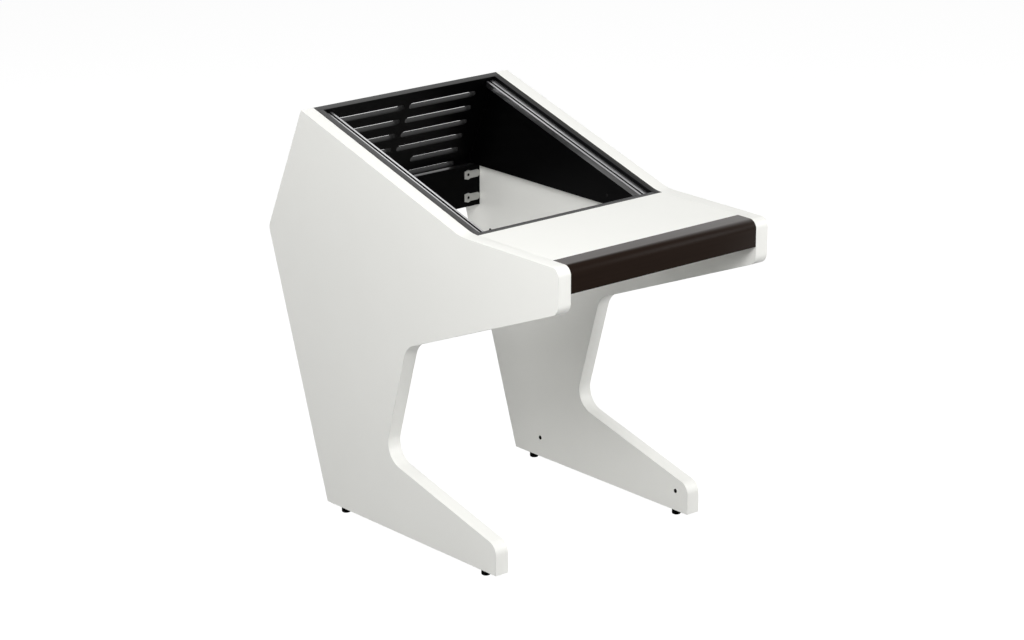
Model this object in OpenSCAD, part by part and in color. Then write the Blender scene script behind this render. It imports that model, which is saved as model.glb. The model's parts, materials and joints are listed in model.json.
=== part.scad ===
// Studio desk with a sloping equipment bay, seen along X from its side panels.
// Side view coordinates: Y points to the back and Z up. The side view's own origin is the
// rear bottom corner of a side panel, and the whole desk is then moved so that the middle
// of its footprint is at X = 0 and Y = 0, with the glide feet standing on Z = 0.

/* [Overall] */
// clear width between the two side panels
inner_w = 530; // [520:1:560]
// thickness of the side panels and of the desk top
panel_t = 35; // [30:1:40]
// height of the desk top above the bottom edge of the side panels
table_z = 734.3; // [710:0.5:750]
// thickness of the black boards
board_t = 16; // [12:0.5:18]

/* [Side panel outline] */
// distance from the rear bottom corner forward to the front of the toe
toe_depth = 594.1; // [570:1:640]
// height of the upper corner of the toe
toe_z = 68.6; // [60:1:90]
// forward distance of the knee corner, where the toe meets the upright
knee_depth = 212.7; // [190:1:240]
// height of the knee corner
knee_z = 169; // [150:1:200]
// forward distance of the throat corner under the desk top
throat_depth = 292.5; // [270:1:320]
// height of the throat corner
throat_z = 441.7; // [420:1:470]
// forward distance of the front edge
front_depth = 791.1; // [770:1:830]
// height of the front edge of a side panel
front_h = 97.4; // [80:1:110]
// forward distance of the corner where the slope meets the desk top
slope_foot_depth = 478.8; // [460:1:500]
// distance of the rear top corner behind the rear bottom corner
rear_top_back = 74.1; // [60:1:90]
// height of the rear top corner
rear_top_z = 902.9; // [880:1:930]
// distance of the bulge corner behind the rear bottom corner
bulge_back = 203.3; // [190:1:215]
// height of the bulge corner
bulge_z = 608.3; // [590:1:620]

/* [Corner radii] */
// radius of the rear bulge
bulge_r = 30; // [10:1:60]
// radius of the hollow corner between slope and desk top
slope_foot_r = 110; // [60:1:140]
// radius of the front top corner, also the nose of the armrest
nose_r = 20; // [12:1:26]
// radius of the front bottom corner
front_bottom_r = 26; // [12:1:30]
// radius of the hollow throat corner
throat_r = 50; // [20:1:80]
// radius of the hollow knee corner
knee_r = 50; // [20:1:80]
// radius of the upper corner of the toe
toe_r = 29; // [10:1:40]

/* [Armrest] */
// depth of the armrest from front to back
armrest_d = 56.5; // [50:0.5:60]
// height of the armrest
armrest_h = 60; // [55:1:65]

/* [Equipment bay] */
// distance of the bay boards' lower edge below the desk top
bay_drop = 61.3; // [58:0.1:66]
// length of the slotted back board along the rear edge of the panels
back_board_len = 274; // [268:1:280]
// height of the lower cross board
cross_h = 100.5; // [90:0.5:110]
// gap between the cross board's upper rear edge and the back board
cross_gap = 8.9; // [4:0.1:14]

/* [Ventilation slots] */
// height of a slot, which is also twice its end radius
slot_h = 15; // [12:0.5:20]
// distance between slot rows
slot_pitch = 40; // [38:0.5:42]
// distance from the rear top corner to the first row
slot_first = 38; // [30:1:40]
// web left between the left and right slots
slot_web = 16; // [10:1:30]
// length of the slots in the upper rows
slot_long = 196; // [180:1:200]
// length of the slots in the two lowest rows
slot_short = 143; // [120:1:160]
// number of rows with long slots
rows_long = 4; // [1:1:4]
// number of rows with short slots
rows_short = 2; // [0:1:2]

/* [Rack rails] */
// width of a rail's face
rail_w = 24.5; // [24:0.1:25]
// depth of a rail
rail_d = 13.5; // [12.5:0.1:16]
// distance of the rail face below the sloping edge
rail_sink = 8; // [6:0.5:12]
// gap between the rails and the back board
rail_end_gap = 2; // [1:0.5:4]
// number of rack units
rack_units = 12; // [10:1:12]
// distance from a rail's outer side to the middle of its slot
rail_slot_at = 16.5; // [16.3:0.1:16.7]
// width of the slot in the rail face
rail_slot_w = 5.8; // [5.4:0.1:6]
// wall thickness of the rail
rail_wall = 2.5; // [2:0.1:2.6]
// width of the threaded strip in the slot
strip_w = 9; // [8.4:0.1:9.2]
// thickness of the threaded strip
strip_t = 3; // [2:0.5:3.5]
// radius of the threaded holes in the strip
strip_hole_r = 2.5; // [2:0.1:2.6]

/* [Cross board plates] */
// length of a plate on the cross board
plate_len = 47.5; // [42:0.5:52]
// thickness of a plate
plate_t = 2; // [1.5:0.1:3]
// height of the plate around its screw hole
plate_h = 23; // [21:0.5:26]
// height of the plate's tongue
plate_tongue_h = 17.8; // [14:0.1:20]
// height of the plate's end at the side panel
plate_end_h = 8.4; // [6:0.1:12]
// depth of the tongue in the side panel
plate_bite = 8; // [5:0.5:12]
// distance from a side panel to the screw hole
plate_hole_at = 36; // [33:0.5:38]
// distance between the two plates of one side
plate_pitch = 55.6; // [50:0.1:60]

/* [Glide feet] */
// radius of a foot's pad
foot_r = 10.3; // [8.5:0.1:12]
// height of the side panels' lower edge above the floor
foot_h = 16; // [12:0.5:20]
// gap between a pad and the side panel above it
foot_gap = 0.3; // [0.2:0.1:1]
// radius of the pad's rounded lower edge
foot_round = 3; // [2:0.5:4]
// radius of the foot's threaded stem
stem_r = 4; // [3:0.1:5]
// length of the stem inside the panel
stem_len = 34; // [30:1:40]
// radial clearance of the stem in its insert
stem_gap = 0.05; // [0.02:0.01:0.1]
// forward distance of the rear feet
foot_rear_depth = 47; // [40:1:60]
// forward distance of the front feet
foot_front_depth = 540.5; // [530:1:550]
// wall thickness of the threaded insert around the stem
insert_wall = 1.95; // [1.5:0.05:2.5]
// length of the threaded insert
insert_len = 22; // [16:1:26]

/* [Accessory bores] */
// radius of the bores in the inner faces of the side panels
bore_r = 5; // [4:0.1:6]
// depth of these bores
bore_depth = 12; // [8:1:16]
// forward distance of the rear lower bore
bore_rear_depth = 88.7; // [80:1:100]
// forward distance of the front lower bore
bore_front_depth = 554.4; // [552:0.2:558]
// height of the lower bores
bore_low_z = 46.7; // [42:1:52]
// distance of the upper bore behind the rear bottom corner
bore_up_back = 93.6; // [84:1:104]
// height of the upper bore
bore_up_z = 516; // [500:1:530]

/* [Fasteners] */
// radius of the wooden dowels
dowel_r = 4; // [3:0.5:4.5]
// length of the wooden dowels
dowel_len = 30; // [24:1:34]
// end clearance of a dowel in its hole
dowel_end_gap = 1; // [0.5:0.1:2]
// radius of the cam discs under the desk top
cam_r = 7.5; // [7:0.1:8]
// height of a cam disc above its bolt
cam_cover = 3; // [2:0.5:4]
// distance from a side panel to a cam's centre
cam_at = 34; // [30:1:40]
// radius of the cam bolts
cam_bolt_r = 3; // [2.5:0.1:3.4]
// depth of a cam bolt's thread in the side panel
cam_bolt_bite = 11; // [8:1:14]
// radius of a screw's shank
screw_r = 2; // [1.6:0.1:2.2]
// radius of a screw's head
screw_head_r = 3.4; // [3:0.1:4]
// height of a screw's head
screw_head_h = 2; // [1.6:0.1:2.2]
// depth of the screws in the piece they bite into
screw_bite = 14; // [10:1:14]
// radial clearance of a shank in the piece it passes through
shank_gap = 0.1; // [0.05:0.05:0.2]
// leg length of the angle brackets under the desk top
angle_leg = 22; // [20:0.5:24]
// thickness of the angle brackets
angle_t = 2.5; // [2:0.1:3]
// width of the angle brackets
angle_w = 30; // [24:1:40]

/* [Hidden] */
$fn = 64;

half_w = inner_w / 2;
outer_half = half_w + panel_t;
// how far a cutter reaches past the face that it opens
over = 1;
// largest turn between two neighbouring points of a rounded corner, in degrees
arc_step = 5;

// corners of the side panel as [Y, Z], from the rear bottom corner round by the back and top
rear_bottom = [0, 0];
bulge = [bulge_back, bulge_z];
rear_top = [rear_top_back, rear_top_z];
slope_foot = [-slope_foot_depth, table_z];
front_top = [-front_depth, table_z];
front_bottom = [-front_depth, table_z - front_h];
throat = [-throat_depth, throat_z];
knee = [-knee_depth, knee_z];
toe_top = [-toe_depth, toe_z];
toe_bottom = [-toe_depth, 0];

// directions and angles of the sloping edge and of the upper rear edge
slope_dir = (slope_foot - rear_top) / norm(slope_foot - rear_top);
rear_dir = (bulge - rear_top) / norm(bulge - rear_top);
slope_angle = atan2(-slope_dir[1], -slope_dir[0]);
rear_tilt = atan2(rear_dir[0], -rear_dir[1]);
slope_len = norm(slope_foot - rear_top);

// the middle of the footprint, from the front edge and the rounded bulge
bulge_half = corner_half(rear_bottom, bulge, rear_top);
bulge_centre = bulge + bulge_r / sin(bulge_half) * corner_axis(rear_bottom, bulge, rear_top);
rear_reach = bulge_centre[0] + bulge_r;
shift_y = (front_depth - rear_reach) / 2;

// bay boards
bay_bottom_z = table_z - bay_drop;
bay_front_y = -slope_foot_depth;
bay_front_outer_y = bay_front_y - board_t;
bay_half = half_w - board_t;
back_board_cap = board_t * tan(corner_lean());
back_board_face = board_t / cos(corner_lean());
cross_front_y = back_face_y(bay_bottom_z) - cross_gap - board_t;
cross_z = bay_bottom_z - cross_h;
cross_mid_z = bay_bottom_z - cross_h / 2;

// rails and strips, measured along the slope from the rear top corner
unit_len = 44.45;
hole_step = 15.875;
hole_first = 6.35;
rail_start = back_board_face + rail_end_gap;
rail_len = slope_len - rail_start;
rack_start = rail_start + (rail_len - rack_units * unit_len) / 2;
strip_inset = 3;
strip_len = rail_len - 2 * strip_inset;
strip_start = rail_start + strip_inset;
strip_side_gap = 0.2;
bolt_room = 5;
cavity_w = strip_w + 2 * strip_side_gap;
cavity_d = strip_t + bolt_room;
chamber_w = rail_slot_at - cavity_w / 2 - 2 * rail_wall;
rail_screw_count = 4;
rail_screw_margin = 40;
rail_screw_step = (rail_len - 2 * rail_screw_margin) / (rail_screw_count - 1);
rail_screw_r = screw_r;
rail_screw_depth = rail_sink + rail_wall + (rail_d - 2 * rail_wall) / 2;

// screws that hold the bay's side boards to the side panels, as [Y, Z]
low_screw_back = 147.1;
low_screw_up = 22.5;
high_screw_below = 8.5;
high_screw_edge = 80;
low_screw = [bay_front_y + low_screw_back, bay_bottom_z + low_screw_up];
high_screw_depth = rail_sink + rail_d + high_screw_below;
high_screw_at = [high_screw_edge, slope_len / 2, slope_len - high_screw_edge];

// outline of a cross board plate: its tip widens to the tongue, and the tongue to the head
plate_tip = 7.6;
plate_shoulder_before = 6;
plate_wide_before = 1;
plate_chamfer_x = 10;
plate_chamfer_z = 2.7;

// the desk top and the armrest
dowel_top_edge = 18;
dowel_low_edge = 15;
desk_top_back_y = bay_front_outer_y;
armrest_back_y = -front_depth + armrest_d;
desk_top_d = desk_top_back_y - armrest_back_y;
desk_bottom_z = table_z - panel_t;
desk_mid_z = table_z - panel_t / 2;
cam_h = panel_t / 2 + cam_bolt_r + cam_cover;
cam_edge = 40;
desk_dowel_edge = 75;
desk_mid_y = (desk_top_back_y + armrest_back_y) / 2;
cam_y = [desk_top_back_y - cam_edge, desk_mid_y, armrest_back_y + cam_edge];
dowel_y = [desk_top_back_y - desk_dowel_edge, armrest_back_y + desk_dowel_edge];
armrest_dowel_z = [table_z - dowel_top_edge, table_z - armrest_h + dowel_low_edge];
armrest_dowel_y = armrest_back_y - armrest_d / 2;
bracket_pitch = 180;
bracket_x = [-bracket_pitch, 0, bracket_pitch];
bracket_hole_out = 1;
cam_slot_w = 1.2;
cam_slot_depth = 1.5;
front_dowel_share = 0.6;
rail_screw_point = 2;
back_dowel_edge = 28;
back_dowel_at = [back_dowel_edge, back_board_len / 2, back_board_len - back_dowel_edge];
front_dowel_z = [table_z - dowel_top_edge, bay_bottom_z + dowel_low_edge];
hole_len = dowel_len / 2 + dowel_end_gap;

foot_depths = [foot_front_depth, foot_rear_depth];
foot_x = half_w + panel_t / 2;
insert_r = stem_r + stem_gap + insert_wall;
stem_room = 0.6;
stem_room_r = stem_r + stem_room;
stem_room_end = 2;
stem_room_len = stem_len + stem_room_end;

// half the inner angle at corner b, and the unit vector from b along the corner's bisector
function unit(v) = v / norm(v);
function corner_half(a, b, c) = acos(unit(a - b) * unit(c - b)) / 2;
function corner_axis(a, b, c) = unit(unit(a - b) + unit(c - b));
// how far the back board leans away from square to the slope
function corner_lean() = acos(slope_dir * rear_dir) - 90;

// moves a child from side view coordinates into the desk's own frame
module desk_frame() {
    translate([0, shift_y, foot_h]) children();
}

// extrudes a side view shape, drawn as [Y, Z], from X = x0 over a width w
module side_extrude(x0, w) {
    translate([x0, 0, 0]) rotate([90, 0, 90]) linear_extrude(height = w) children();
}

// local frame on the slope: -Y runs down the slope and Z stands out of it
module on_slope() {
    translate([0, rear_top[0], rear_top[1]]) rotate([slope_angle, 0, 0]) children();
}

// local frame on the upper rear edge: -Z runs down the edge and -Y points into the desk
module on_rear_edge() {
    translate([0, rear_top[0], rear_top[1]]) rotate([rear_tilt, 0, 0]) children();
}

// the arc of radius r that rounds corner b, as points from its edge towards a to its edge
// towards c, with one point for about every arc_step degrees
function arc(a, b, c, r) =
    let (
        centre = b + r / sin(corner_half(a, b, c)) * corner_axis(a, b, c),
        from = b + r / tan(corner_half(a, b, c)) * unit(a - b) - centre,
        to = b + r / tan(corner_half(a, b, c)) * unit(c - b) - centre,
        turn = atan2(cross(from, to), from * to),
        steps = ceil(abs(turn) / arc_step)
    )
    [for (k = [0 : steps]) centre + turned(from, turn * k / steps)];
function turned(v, angle) = [v[0] * cos(angle) - v[1] * sin(angle),
                             v[0] * sin(angle) + v[1] * cos(angle)];

// outline of a side panel, with its corners rounded
module panel_outline() {
    polygon(concat(
        [rear_bottom],
        arc(rear_bottom, bulge, rear_top, bulge_r),
        [rear_top],
        arc(rear_top, slope_foot, front_top, slope_foot_r),
        arc(slope_foot, front_top, front_bottom, nose_r),
        arc(front_top, front_bottom, throat, front_bottom_r),
        arc(front_bottom, throat, knee, throat_r),
        arc(throat, knee, toe_top, knee_r),
        arc(knee, toe_top, toe_bottom, toe_r),
        [toe_bottom]
    ));
}

// a cylinder along X, from x0 over a length len, at side view position [Y, Z]
module bar_x(x0, len, at, r) {
    translate([x0, at[0], at[1]]) rotate([0, 90, 0]) cylinder(r = r, h = len);
}

// a countersunk screw whose head's flat top is at the origin, with its shank along -Z
module screw(len, r = screw_r) {
    translate([0, 0, -screw_head_h]) cylinder(r1 = r, r2 = screw_head_r, h = screw_head_h);
    translate([0, 0, -len]) cylinder(r = r, h = len - screw_head_h / 2);
}

// the hole for that screw in the piece it passes through
module screw_hole(len, r = screw_r) {
    translate([0, 0, -screw_head_h])
        cylinder(r1 = r + shank_gap, r2 = screw_head_r + shank_gap, h = screw_head_h);
    translate([0, 0, -len]) cylinder(r = r + shank_gap, h = len);
    cylinder(r = screw_head_r + shank_gap, h = over);
}

// position of the two feet of one side: places the child at each foot's axis
module at_foot(side, depth) {
    translate([side * foot_x, -depth, 0]) children();
}

// everything cut out of a side panel, on the side given by 1 for right and -1 for left
module panel_cuts(side) {
    for (depth = foot_depths) at_foot(side, depth) {
        translate([0, 0, -over]) cylinder(r = insert_r, h = insert_len + over);
        cylinder(r = stem_room_r, h = stem_room_len);
    }
    drill(side, [-bore_rear_depth, bore_low_z], bore_r, bore_depth);
    drill(side, [-bore_front_depth, bore_low_z], bore_r, bore_depth);
    drill(side, [bore_up_back, bore_up_z], bore_r, bore_depth);
    for (y = cam_y) drill(side, [y, desk_mid_z], cam_bolt_r, cam_bolt_bite);
    for (y = dowel_y) drill(side, [y, desk_mid_z], dowel_r, hole_len);
    for (z = armrest_dowel_z) drill(side, [armrest_dowel_y, z], dowel_r, hole_len);
    for (s = back_dowel_at) drill(side, back_dowel_point(s), dowel_r, hole_len);
    for (p = side_screw_points()) drill(side, p, screw_r, screw_bite);
    for (level = [-1, 1]) plate_place(side, level)
        translate([-plate_bite, 0, -plate_end_h / 2])
            cube([plate_bite + over, plate_t, plate_end_h]);
}

// a drilling of radius r and depth len into a side panel's inner face at [Y, Z]
module drill(side, at, r, len) {
    translate([side * half_w, at[0], at[1]]) rotate([0, side * 90, 0])
        translate([0, 0, -over]) cylinder(r = r, h = len + over);
}

// points of the back board's dowels, in the middle of the board, as [Y, Z]
function back_dowel_point(s) = rear_top + s * rear_dir + board_t / 2 * rear_inward();
function rear_inward() = [rear_dir[1], -rear_dir[0]];
// forward or backward place of the back board's inner face at height z
function back_face_y(z) = (rear_top + board_t * rear_inward())[0]
    + ((rear_top + board_t * rear_inward())[1] - z) / -rear_dir[1] * rear_dir[0];
function slope_inward() = [-slope_dir[1], slope_dir[0]];
function side_screw_points() = concat([low_screw],
    [for (s = high_screw_at) rear_top + s * slope_dir + high_screw_depth * slope_inward()]);

module side_panel(side) {
    color([0.95, 0.95, 0.93]) desk_frame() difference() {
        side_extrude(side > 0 ? half_w : -outer_half, panel_t) panel_outline();
        panel_cuts(side);
    }
}
module side_panel_left() { side_panel(-1); }
module side_panel_right() { side_panel(1); }

module desk_top() {
    color([0.95, 0.95, 0.93]) desk_frame() difference() {
        translate([-half_w, armrest_back_y, desk_bottom_z]) cube([inner_w, desk_top_d, panel_t]);
        for (side = [-1, 1]) {
            for (y = cam_y) {
                cam_place(side, y) translate([0, 0, -over]) cylinder(r = cam_r, h = cam_h + over);
                bar_x(side > 0 ? half_w - cam_at : -half_w - over, cam_at + over,
                      [y, desk_mid_z], cam_bolt_r + shank_gap);
            }
            for (y = dowel_y)
                bar_x(side > 0 ? half_w - hole_len : -half_w - over, hole_len + over,
                      [y, desk_mid_z], dowel_r);
        }
        for (x = bracket_x)
            translate([x, angle_screw_y(), desk_bottom_z - over])
                cylinder(r = screw_r, h = screw_bite + over);
    }
}
function angle_screw_y() = armrest_back_y + angle_leg / 2 + bracket_hole_out;
function angle_screw_z() = desk_bottom_z - angle_leg / 2 - bracket_hole_out;

module cam_place(side, y) {
    translate([side * (half_w - cam_at), y, desk_bottom_z]) children();
}

module armrest() {
    color([0.19, 0.15, 0.13]) desk_frame() difference() {
        side_extrude(-half_w, inner_w) polygon(concat(
            arc(slope_foot, front_top, front_bottom, nose_r),
            [[-front_depth, table_z - armrest_h], [armrest_back_y, table_z - armrest_h],
             [armrest_back_y, table_z]]
        ));
        for (side = [-1, 1], z = armrest_dowel_z)
            bar_x(side > 0 ? half_w - hole_len : -half_w - over, hole_len + over,
                  [armrest_dowel_y, z], dowel_r);
        for (x = bracket_x)
            translate([x, armrest_back_y + over, angle_screw_z()]) rotate([90, 0, 0])
                cylinder(r = screw_r, h = screw_bite + over);
    }
}

// side view of a bay side board, from the back board's inner face to the bay's front
module bay_side_outline() {
    back_top = rear_top + back_board_face * slope_dir;
    back_low = back_top + (bay_bottom_z - back_top[1]) / rear_dir[1] * rear_dir;
    intersection() {
        polygon(concat(
            [back_top],
            arc(rear_top, slope_foot, front_top, slope_foot_r),
            [front_top, [front_top[0], bay_bottom_z], back_low]
        ));
        translate([bay_front_outer_y, 0]) square([slope_len, rear_top_z]);
    }
}

module rack_side(side) {
    color([0.05, 0.05, 0.05]) desk_frame() difference() {
        side_extrude(side > 0 ? bay_half : -half_w, board_t) bay_side_outline();
        for (p = side_screw_points())
            translate([side * bay_half, p[0], p[1]]) rotate([0, -side * 90, 0])
                screw_hole(board_t + over);
        for (z = front_dowel_z)
            bar_x(side > 0 ? bay_half - over : -bay_half - front_dowel_bite(),
                  front_dowel_bite() + over, [bay_front_y - board_t / 2, z], dowel_r);
        on_slope() for (k = [0 : rail_screw_count - 1])
            translate([side * half_w, -rail_screw_s(k), -rail_screw_depth])
                rotate([0, side * 90, 0]) screw_hole(board_t + over, rail_screw_r);
    }
}
function front_dowel_bite() = board_t * front_dowel_share;
function rail_screw_s(k) = rail_start + rail_screw_margin + k * rail_screw_step;
module rack_side_left() { rack_side(-1); }
module rack_side_right() { rack_side(1); }

module rack_front_board() {
    color([0.05, 0.05, 0.05]) desk_frame() difference() {
        translate([-bay_half, bay_front_outer_y, bay_bottom_z])
            cube([2 * bay_half, board_t, bay_drop]);
        for (side = [-1, 1], z = front_dowel_z)
            bar_x(side > 0 ? bay_half - hole_len : -bay_half - over, hole_len + over,
                  [bay_front_y - board_t / 2, z], dowel_r);
    }
}

// one round-ended slot in the back board, from x0 over a length len, s below the top corner
module vent_slot(x0, len, s) {
    end_r = slot_h / 2;
    for (x = [x0 + end_r, x0 + len - end_r])
        translate([x, over, -s]) rotate([90, 0, 0]) cylinder(r = end_r, h = board_t + 2 * over);
    translate([x0 + end_r, -board_t - over, -s - end_r])
        cube([len - slot_h, board_t + 2 * over, slot_h]);
}

module rack_back_board() {
    color([0.05, 0.05, 0.05]) desk_frame() difference() {
        on_rear_edge() difference() {
            side_extrude(-half_w, inner_w)
                polygon([[0, 0], [-board_t, back_board_cap], [-board_t, -back_board_len],
                         [0, -back_board_len]]);
            for (row = [0 : rows_long - 1], side = [0, 1]) mirror([side, 0, 0])
                vent_slot(slot_web / 2, slot_long, slot_first + row * slot_pitch);
            if (rows_short > 0)
                for (row = [rows_long : rows_long + rows_short - 1], side = [0, 1])
                    mirror([side, 0, 0])
                        vent_slot(slot_web / 2 + slot_long - slot_short, slot_short,
                                  slot_first + row * slot_pitch);
        }
        for (side = [-1, 1], s = back_dowel_at)
            bar_x(side > 0 ? half_w - hole_len : -half_w - over, hole_len + over,
                  back_dowel_point(s), dowel_r);
    }
}

module cross_board() {
    color([0.05, 0.05, 0.05]) desk_frame() difference() {
        translate([-half_w, cross_front_y, cross_z]) cube([inner_w, board_t, cross_h]);
        for (side = [-1, 1], level = [-1, 1])
            plate_place(side, level) translate([plate_hole_at, 0, 0]) rotate([-90, 0, 0])
                cylinder(r = screw_r, h = plate_t + screw_bite);
    }
}

// local frame of a plate: X runs from the side panel towards the middle, Y = 0 is its face
module plate_place(side, level) {
    translate([side * half_w, cross_front_y - plate_t, cross_mid_z + level * plate_pitch / 2])
        mirror([side > 0 ? 1 : 0, 0, 0]) children();
}

module cross_plate(side, level) {
    half_h = plate_h / 2;
    half_tongue = plate_tongue_h / 2;
    half_end = plate_end_h / 2;
    shoulder = plate_hole_at - plate_shoulder_before;
    wide = plate_hole_at - plate_wide_before;
    color([0.62, 0.62, 0.6]) desk_frame() plate_place(side, level) difference() {
        translate([0, plate_t, 0]) rotate([90, 0, 0]) linear_extrude(height = plate_t) polygon([
            [-plate_bite, -half_end], [0, -half_end], [plate_tip, -half_tongue],
            [shoulder, -half_tongue], [wide, -half_h],
            [plate_len - plate_chamfer_x, -half_h], [plate_len, plate_chamfer_z - half_h],
            [plate_len, half_h - plate_chamfer_z], [plate_len - plate_chamfer_x, half_h], [wide, half_h],
            [shoulder, half_tongue], [plate_tip, half_tongue], [0, half_end],
            [-plate_bite, half_end]
        ]);
        translate([plate_hole_at, 0, 0]) rotate([90, 0, 0]) screw_hole(plate_t + over);
    }
}
module cross_plate_left_upper() { cross_plate(-1, 1); }
module cross_plate_left_lower() { cross_plate(-1, -1); }
module cross_plate_right_upper() { cross_plate(1, 1); }
module cross_plate_right_lower() { cross_plate(1, -1); }

module cross_plate_screws() {
    color([0.03, 0.03, 0.03]) desk_frame() for (side = [-1, 1], level = [-1, 1])
        plate_place(side, level) translate([plate_hole_at, 0, 0]) rotate([90, 0, 0])
            screw(plate_t + screw_bite);
}

// section of a rail, drawn from the bay's side board inwards and down from the rail's face
module rail_section() {
    slot_x = rail_slot_at - rail_slot_w / 2;
    cavity_x = rail_slot_at - cavity_w / 2;
    difference() {
        translate([0, -rail_d]) square([rail_w, rail_d]);
        translate([slot_x, -rail_wall - over]) square([rail_slot_w, rail_wall + 2 * over]);
        translate([cavity_x, -rail_wall - cavity_d]) square([cavity_w, cavity_d]);
        translate([rail_wall, -rail_d + rail_wall]) square([chamber_w, rail_d - 2 * rail_wall]);
    }
}

// local frame of a rail: X runs inwards from the side board, Z stands out of the rail's face
module rail_place(side) {
    desk_frame() on_slope() translate([side * bay_half, 0, -rail_sink])
        mirror([side > 0 ? 1 : 0, 0, 0]) children();
}

module rail(side) {
    color([0.8, 0.8, 0.81]) rail_place(side) difference() {
        translate([0, -rail_start, 0]) rotate([90, 0, 0])
            linear_extrude(height = rail_len) rail_section();
        for (k = [0 : rail_screw_count - 1])
            translate([-over, -rail_screw_s(k), rail_sink - rail_screw_depth]) rotate([0, 90, 0])
                cylinder(r = rail_screw_r, h = rail_wall + 2 * over);
    }
}
module rail_left() { rail(-1); }
module rail_right() { rail(1); }

module thread_strip(side) {
    color([0.1, 0.1, 0.1]) rail_place(side) difference() {
        translate([rail_slot_at - strip_w / 2, -strip_start - strip_len, -rail_wall - strip_t])
            cube([strip_w, strip_len, strip_t]);
        for (u = [0 : rack_units - 1], h = [0 : 2])
            translate([rail_slot_at, -rack_start - u * unit_len - hole_first - h * hole_step,
                       -rail_wall - strip_t - over])
                    cylinder(r = strip_hole_r, h = strip_t + 2 * over, $fn = 32);
    }
}
module thread_strip_left() { thread_strip(-1); }
module thread_strip_right() { thread_strip(1); }

module rail_screws(side) {
    color([0.7, 0.7, 0.7]) desk_frame() on_slope() for (k = [0 : rail_screw_count - 1])
        translate([side * half_w, -rail_screw_s(k), -rail_screw_depth])
            rotate([0, side * 90, 0]) screw(board_t + rail_wall + rail_screw_point, rail_screw_r);
}
module rail_screws_left() { rail_screws(-1); }
module rail_screws_right() { rail_screws(1); }

module side_board_screws() {
    color([0.03, 0.03, 0.03]) desk_frame() for (side = [-1, 1], p = side_screw_points())
        translate([side * bay_half, p[0], p[1]]) rotate([0, -side * 90, 0])
            screw(board_t + screw_bite);
}

module desk_cams() {
    color([0.75, 0.75, 0.76]) desk_frame() for (side = [-1, 1], y = cam_y)
        difference() {
            cam_place(side, y) cylinder(r = cam_r, h = cam_h);
            bar_x(side > 0 ? half_w - cam_at : -half_w, cam_at, [y, desk_mid_z],
                  cam_bolt_r + shank_gap);
            cam_place(side, y) translate([-cam_r, -cam_slot_w / 2, -over])
                cube([2 * cam_r, cam_slot_w, cam_slot_depth + over]);
        }
}

module desk_cam_bolts() {
    color([0.7, 0.7, 0.72]) desk_frame() for (side = [-1, 1], y = cam_y)
        bar_x(side > 0 ? half_w - cam_at : -half_w - cam_bolt_bite, cam_at + cam_bolt_bite,
              [y, desk_mid_z], cam_bolt_r);
}

module desk_dowels() {
    color([0.8, 0.66, 0.45]) desk_frame() for (side = [-1, 1], y = dowel_y)
        bar_x(side * half_w - dowel_len / 2, dowel_len, [y, desk_mid_z], dowel_r);
}

module armrest_dowels() {
    color([0.8, 0.66, 0.45]) desk_frame() for (side = [-1, 1], z = armrest_dowel_z)
        bar_x(side * half_w - dowel_len / 2, dowel_len, [armrest_dowel_y, z], dowel_r);
}

module back_board_dowels() {
    color([0.8, 0.66, 0.45]) desk_frame() for (side = [-1, 1], s = back_dowel_at)
        bar_x(side * half_w - dowel_len / 2, dowel_len, back_dowel_point(s), dowel_r);
}

module front_board_dowels() {
    bite = front_dowel_bite() - dowel_end_gap;
    color([0.8, 0.66, 0.45]) desk_frame() for (side = [-1, 1], z = front_dowel_z)
        bar_x(side > 0 ? bay_half - dowel_len / 2 : -bay_half - bite, dowel_len / 2 + bite,
              [bay_front_y - board_t / 2, z], dowel_r);
}

module armrest_brackets() {
    color([0.72, 0.72, 0.72]) desk_frame() for (x = bracket_x) difference() {
        side_extrude(x - angle_w / 2, angle_w) polygon([
            [armrest_back_y, desk_bottom_z], [armrest_back_y + angle_leg, desk_bottom_z],
            [armrest_back_y + angle_leg, desk_bottom_z - angle_t],
            [armrest_back_y + angle_t, desk_bottom_z - angle_t],
            [armrest_back_y + angle_t, desk_bottom_z - angle_leg],
            [armrest_back_y, desk_bottom_z - angle_leg]
        ]);
        translate([x, angle_screw_y(), desk_bottom_z - angle_t]) rotate([180, 0, 0])
            screw_hole(angle_t + over);
        translate([x, armrest_back_y + angle_t, angle_screw_z()]) rotate([-90, 0, 0])
            screw_hole(angle_t + over);
    }
}

module armrest_screws() {
    color([0.7, 0.7, 0.7]) desk_frame() for (x = bracket_x) {
        translate([x, angle_screw_y(), desk_bottom_z - angle_t]) rotate([180, 0, 0])
            screw(angle_t + screw_bite);
        translate([x, armrest_back_y + angle_t, angle_screw_z()]) rotate([-90, 0, 0])
            screw(angle_t + screw_bite);
    }
}

module foot_insert(side, depth) {
    color([0.7, 0.68, 0.6]) desk_frame() at_foot(side, depth) difference() {
        cylinder(r = insert_r, h = insert_len);
        translate([0, 0, -over]) cylinder(r = stem_r + stem_gap, h = insert_len + 2 * over);
    }
}
module foot_insert_left_front() { foot_insert(-1, foot_front_depth); }
module foot_insert_right_front() { foot_insert(1, foot_front_depth); }
module foot_insert_left_rear() { foot_insert(-1, foot_rear_depth); }
module foot_insert_right_rear() { foot_insert(1, foot_rear_depth); }

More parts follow.
